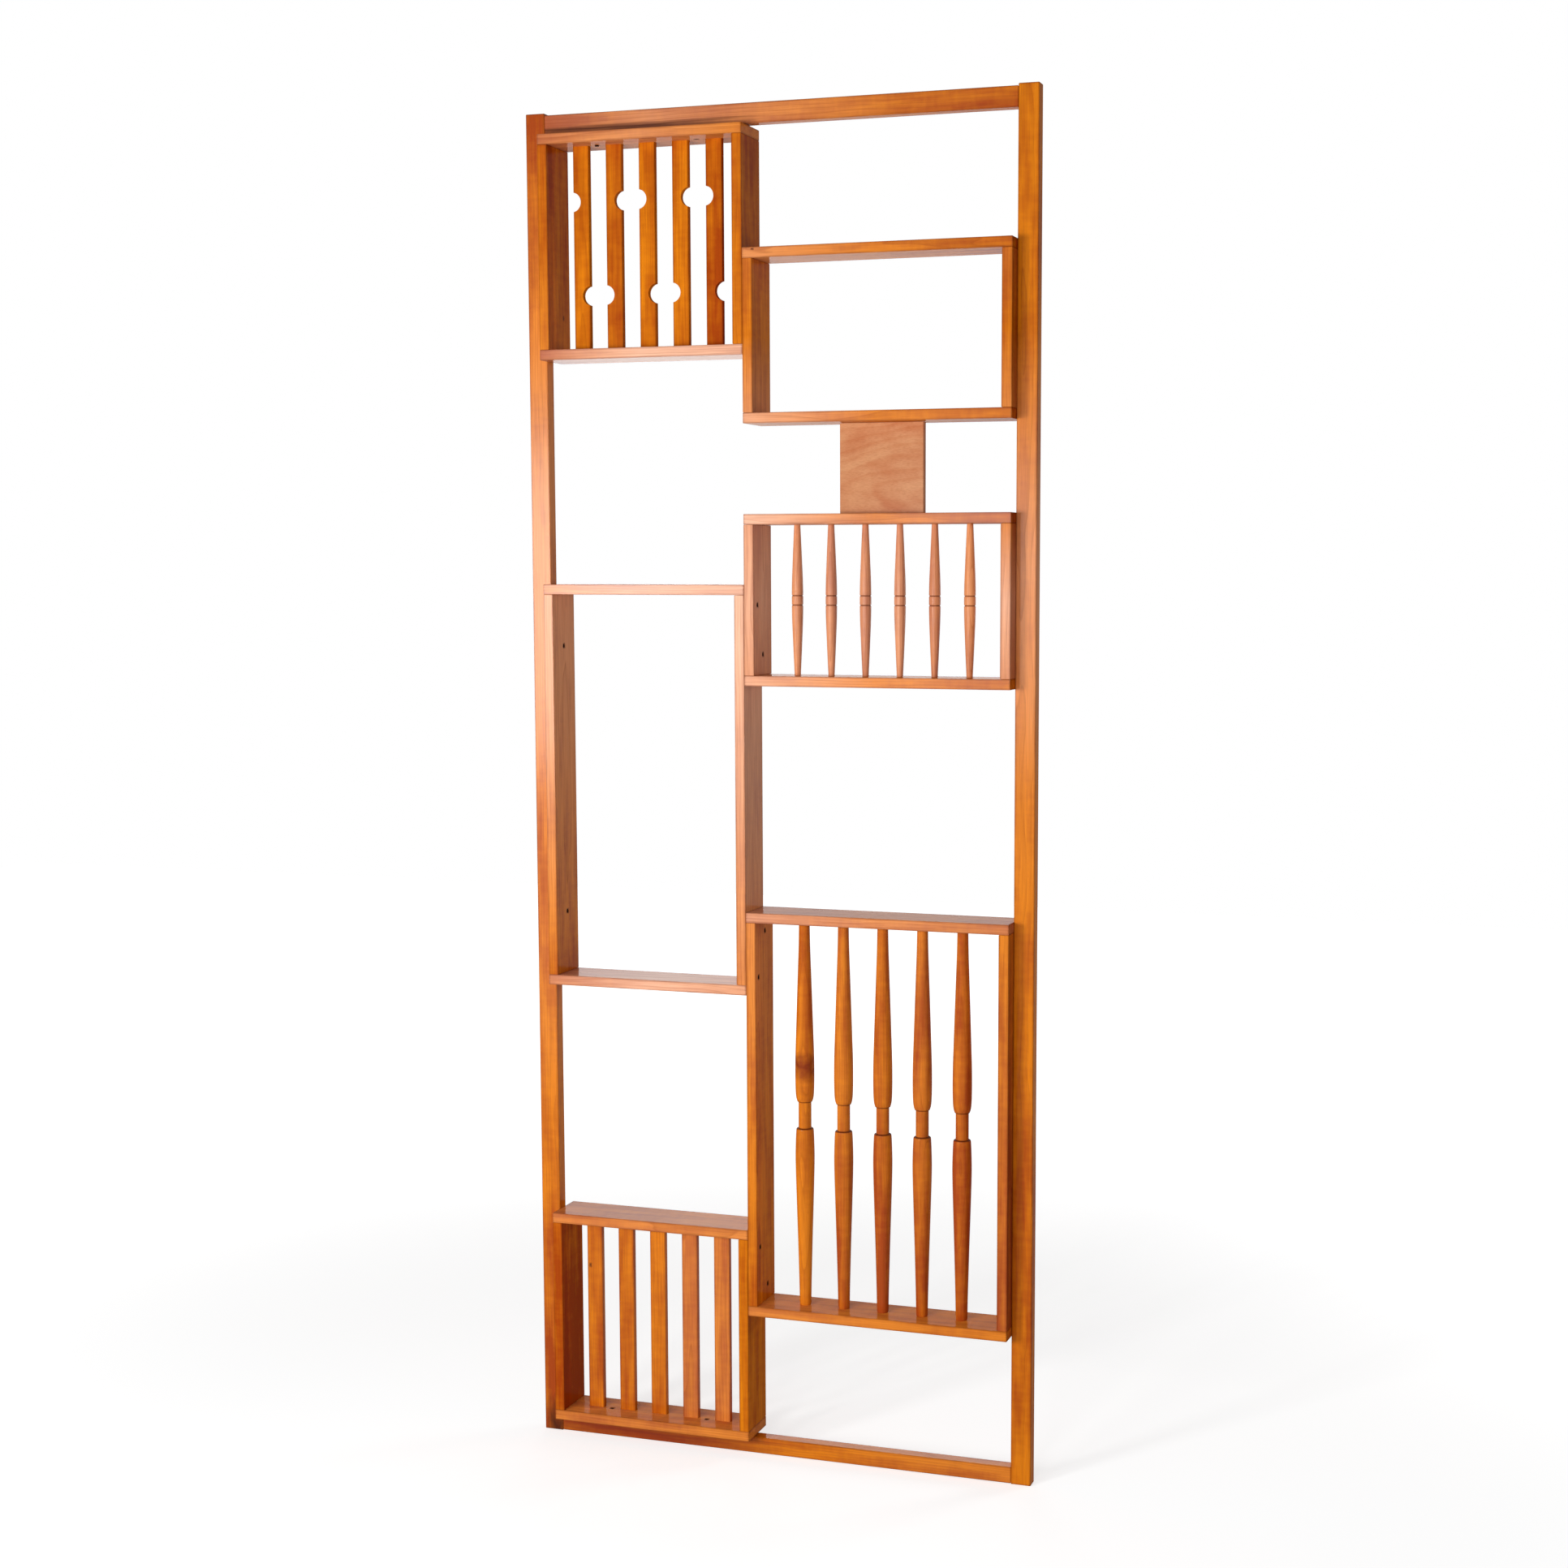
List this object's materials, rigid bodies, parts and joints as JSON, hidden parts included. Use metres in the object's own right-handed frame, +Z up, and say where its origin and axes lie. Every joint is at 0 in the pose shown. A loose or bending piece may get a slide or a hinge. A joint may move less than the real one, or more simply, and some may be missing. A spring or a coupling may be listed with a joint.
{
  "type": "wooden room divider",
  "caption": "Slim floor-to-ceiling wooden frame that holds staggered open boxes, some filled with upright slats or turned spindles.",
  "frame": {"origin": "on the floor, under the middle of the divider's width and depth", "axes": "+Z up, -Y out of the front that the picture shows, +X to the right seen from that front"},
  "size_m": [0.936, 0.088, 2.4],
  "materials": {
    "frame_wood": "glossy amber varnish",
    "board_wood": "glossy amber varnish",
    "slat_wood": "glossy amber varnish",
    "spindle_wood": "turned, glossy amber varnish",
    "panel_wood": "figured veneer, glossy varnish",
    "screw_steel": "zinc plated"
  },
  "bodies": {
    "root": {"bottom_rail": "frame_wood", "bottom_rail_screw_1": "screw_steel", "bottom_rail_screw_2": "screw_steel", "left_stile": "frame_wood", "left_stile_screw_1": "screw_steel", "left_stile_screw_2": "screw_steel", "notched_slat_1": "slat_wood", "notched_slat_2": "slat_wood", "notched_slat_3": "slat_wood", "notched_slat_4": "slat_wood", "notched_slat_5": "slat_wood", "notched_slat_box_bottom": "board_wood", "notched_slat_box_left": "board_wood", "notched_slat_box_right": "board_wood", "notched_slat_box_top": "board_wood", "panel": "panel_wood", "plain_slat_1": "slat_wood", "plain_slat_2": "slat_wood", "plain_slat_3": "slat_wood", "plain_slat_4": "slat_wood", "plain_slat_5": "slat_wood", "plain_slat_box_bottom": "board_wood", "plain_slat_box_left": "board_wood", "plain_slat_box_right": "board_wood", "plain_slat_box_top": "board_wood", "right_stile": "frame_wood", "short_spindle_1": "spindle_wood", "short_spindle_2": "spindle_wood", "short_spindle_3": "spindle_wood", "short_spindle_4": "spindle_wood", "short_spindle_5": "spindle_wood", "short_spindle_6": "spindle_wood", "short_spindle_box_bottom": "board_wood", "short_spindle_box_left": "board_wood", "short_spindle_box_right": "board_wood", "short_spindle_box_screw_1": "screw_steel", "short_spindle_box_screw_2": "screw_steel", "short_spindle_box_top": "board_wood", "small_open_box_bottom": "board_wood", "small_open_box_left": "board_wood", "small_open_box_right": "board_wood", "small_open_box_top": "board_wood", "tall_open_box_bottom": "board_wood", "tall_open_box_left": "board_wood", "tall_open_box_right": "board_wood", "tall_open_box_top": "board_wood", "tall_spindle_1": "spindle_wood", "tall_spindle_2": "spindle_wood", "tall_spindle_3": "spindle_wood", "tall_spindle_4": "spindle_wood", "tall_spindle_5": "spindle_wood", "tall_spindle_box_bottom": "board_wood", "tall_spindle_box_left": "board_wood", "tall_spindle_box_right": "board_wood", "tall_spindle_box_screw_1": "screw_steel", "tall_spindle_box_screw_2": "screw_steel", "tall_spindle_box_top": "board_wood", "top_rail": "frame_wood", "top_rail_screw_1": "screw_steel", "top_rail_screw_2": "screw_steel"}
  },
  "joints": []
}
